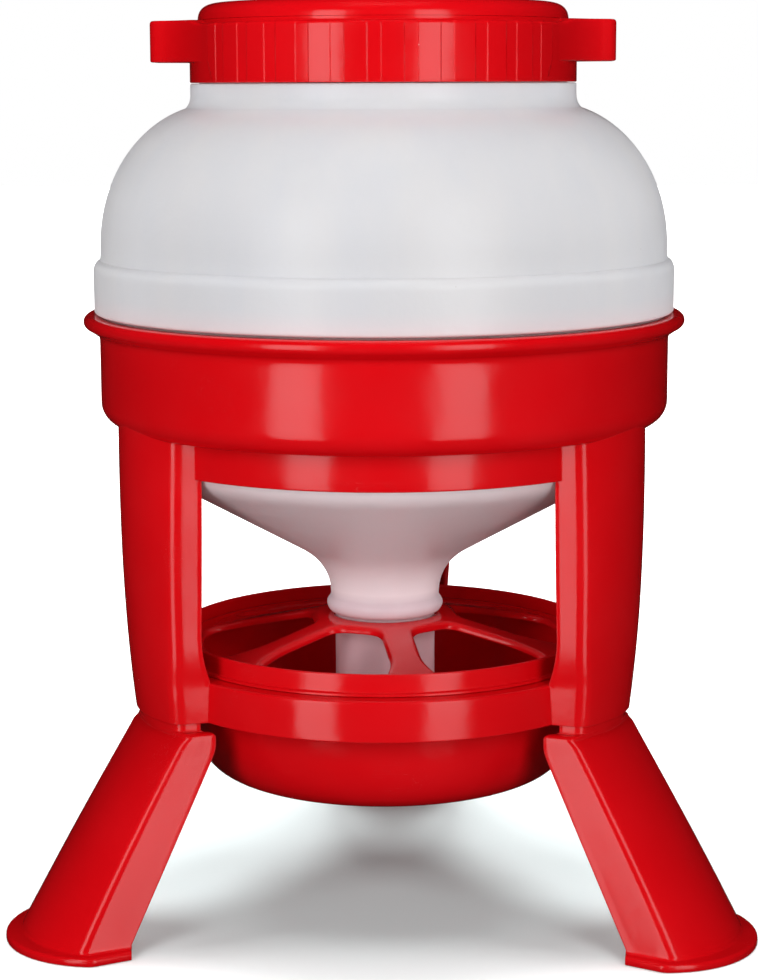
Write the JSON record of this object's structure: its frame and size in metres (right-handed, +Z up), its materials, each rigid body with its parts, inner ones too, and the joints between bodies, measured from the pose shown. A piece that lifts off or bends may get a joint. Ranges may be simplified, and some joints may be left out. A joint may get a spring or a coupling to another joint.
{
  "type": "gravity poultry feeder",
  "caption": "Free-standing gravity feeder: a translucent hopper with a screw lid sits in a three-legged stand over a round pan with an anti-waste grid.",
  "frame": {"origin": "on the ground, at the middle of the whole feeder's footprint; the feeder's own upright axis is at y = -0.0378 m", "axes": "+Z up; one leg points along +Y; the lid's two ears lie along X at rest"},
  "size_m": [0.4988, 0.4789, 0.609],
  "materials": {
    "red_plastic": "glossy moulded",
    "milky_plastic": "satin, translucent, blow moulded",
    "seal_rubber": "matt"
  },
  "bodies": {
    "stand": {"basket": "red_plastic", "pan_ring": "red_plastic", "column_front_left": "red_plastic", "column_front_right": "red_plastic", "column_back": "red_plastic"},
    "pan": {"feed_pan": "red_plastic"},
    "grid": {"anti_waste_grid": "red_plastic"},
    "hopper": {"hopper": "milky_plastic"},
    "seal": {"lid_seal": "seal_rubber"},
    "lid": {"lid": "red_plastic"},
    "leg_front_left": {"leg_front_left": "red_plastic"},
    "leg_front_right": {"leg_front_right": "red_plastic"},
    "leg_back": {"leg_back": "red_plastic"}
  },
  "joints": [
    {"name": "pan_lift", "type": "slide", "parent": "stand", "child": "pan", "axis": [0, 0, 1], "range_m": [0, 0.33]},
    {"name": "grid_lift", "type": "slide", "parent": "pan", "child": "grid", "axis": [0, 0, 1], "range_m": [0, 0.06]},
    {"name": "hopper_lift", "type": "slide", "parent": "grid", "child": "hopper", "axis": [0, 0, 1], "range_m": [0, 0.3]},
    {"name": "lid_rise", "type": "slide", "parent": "hopper", "child": "seal", "axis": [0, 0, 1], "range_m": [0, 0.024]},
    {"name": "lid_turn", "type": "hinge", "parent": "seal", "child": "lid", "pos_m": [0, -0.0378, 0.57], "axis": [0, 0, 1], "range_deg": [0, 720]},
    {"name": "leg_front_left_pull", "type": "slide", "parent": "stand", "child": "leg_front_left", "axis": [0, 0, -1], "range_m": [0, 0.07]},
    {"name": "leg_front_right_pull", "type": "slide", "parent": "stand", "child": "leg_front_right", "axis": [0, 0, -1], "range_m": [0, 0.07]},
    {"name": "leg_back_pull", "type": "slide", "parent": "stand", "child": "leg_back", "axis": [0, 0, -1], "range_m": [0, 0.07]}
  ],
  "couplings": [
    {"joint": "lid_rise", "follows": "lid_turn", "m_per_rad": 0.0019099}
  ]
}
